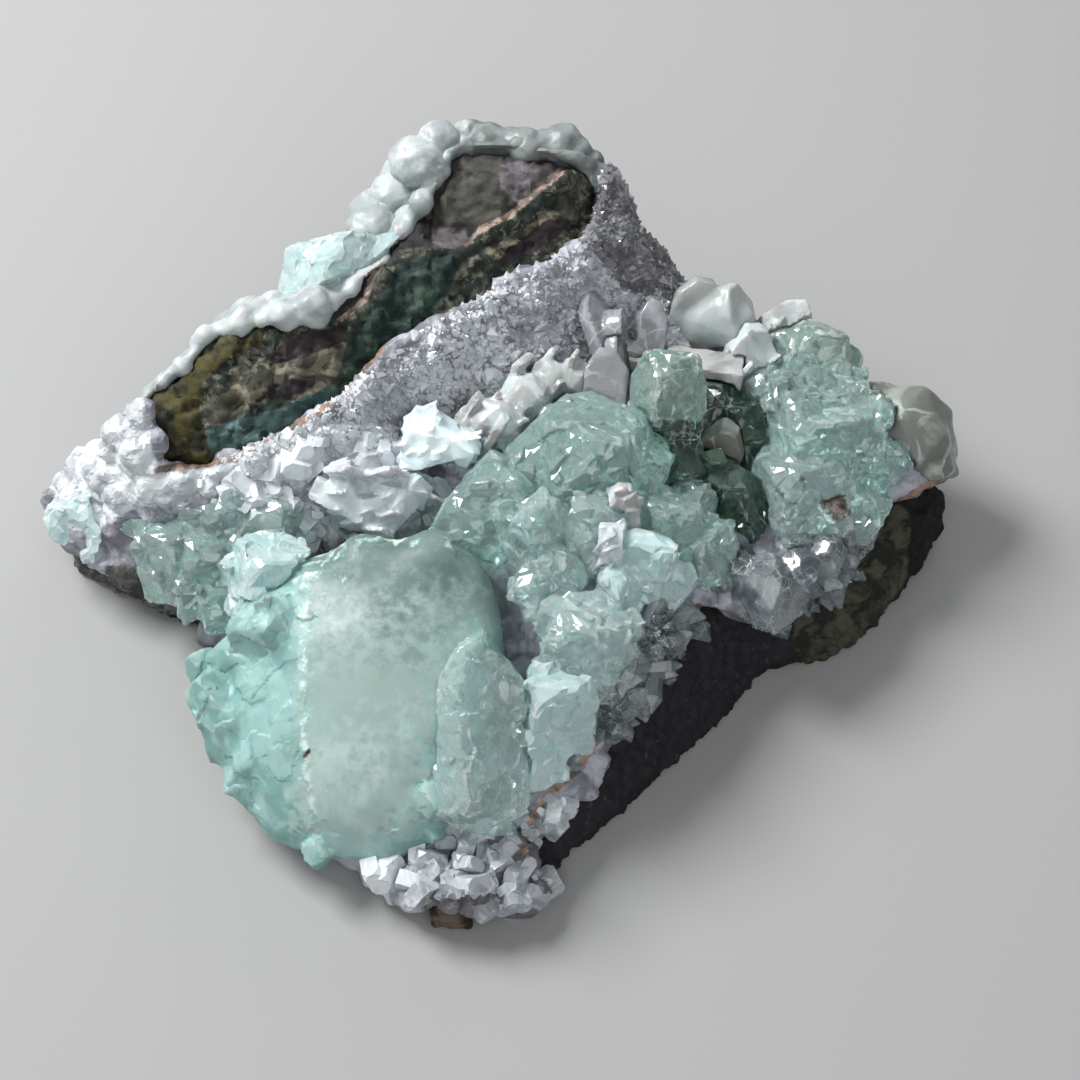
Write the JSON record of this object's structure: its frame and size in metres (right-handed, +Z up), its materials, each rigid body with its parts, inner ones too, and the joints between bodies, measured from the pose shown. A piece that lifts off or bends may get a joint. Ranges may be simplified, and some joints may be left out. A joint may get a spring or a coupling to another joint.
{
  "type": "green apophyllite specimen",
  "caption": "Mineral hand specimen: pale green apophyllite crystals and cream stilbite on lavender chalcedony, grown on a broken basalt matrix that rests on a flat foot.",
  "frame": {"origin": "middle of the bounding box, on the flat foot", "axes": "+Z up from the foot, +X along the longest side to the right as pictured, +Y away from the viewer to the ridge"},
  "size_m": [0.113, 0.0958, 0.0382],
  "materials": {
    "basalt": "rough, pitted",
    "chalcedony": "sugary, glinting",
    "stilbite": "pearly",
    "apophyllite": "vitreous, milky inside",
    "quartz": "vitreous"
  },
  "bodies": {
    "root": {"apophyllite_back_right": "apophyllite", "apophyllite_block_centre": "apophyllite", "apophyllite_bright_blade": "apophyllite", "apophyllite_cluster_right": "apophyllite", "apophyllite_deep": "apophyllite", "apophyllite_dome": "apophyllite", "apophyllite_front_block": "apophyllite", "apophyllite_front_dome": "apophyllite", "apophyllite_great": "apophyllite", "apophyllite_left_block": "apophyllite", "apophyllite_left_clear": "apophyllite", "apophyllite_left_group": "apophyllite", "apophyllite_left_tip": "apophyllite", "apophyllite_outer": "apophyllite", "apophyllite_pale_centre": "apophyllite", "apophyllite_right_block": "apophyllite", "apophyllite_tall": "apophyllite", "apophyllite_twin": "apophyllite", "basalt_matrix": "basalt", "chalcedony_crust": "chalcedony", "chalcedony_lining": "chalcedony", "quartz_lower_right": "quartz", "stilbite_bar": "stilbite", "stilbite_centre": "stilbite", "stilbite_disc": "stilbite", "stilbite_left_sheaf": "stilbite", "stilbite_middle": "stilbite", "stilbite_outer": "stilbite", "stilbite_pocket": "stilbite", "stilbite_right_cluster": "stilbite", "stilbite_right_end": "stilbite", "stilbite_right_tip": "stilbite", "stilbite_slanted_blades": "stilbite", "stilbite_upright_blade": "stilbite", "stilbite_white": "stilbite", "stilbite_white_sheaf": "stilbite"}
  },
  "joints": []
}
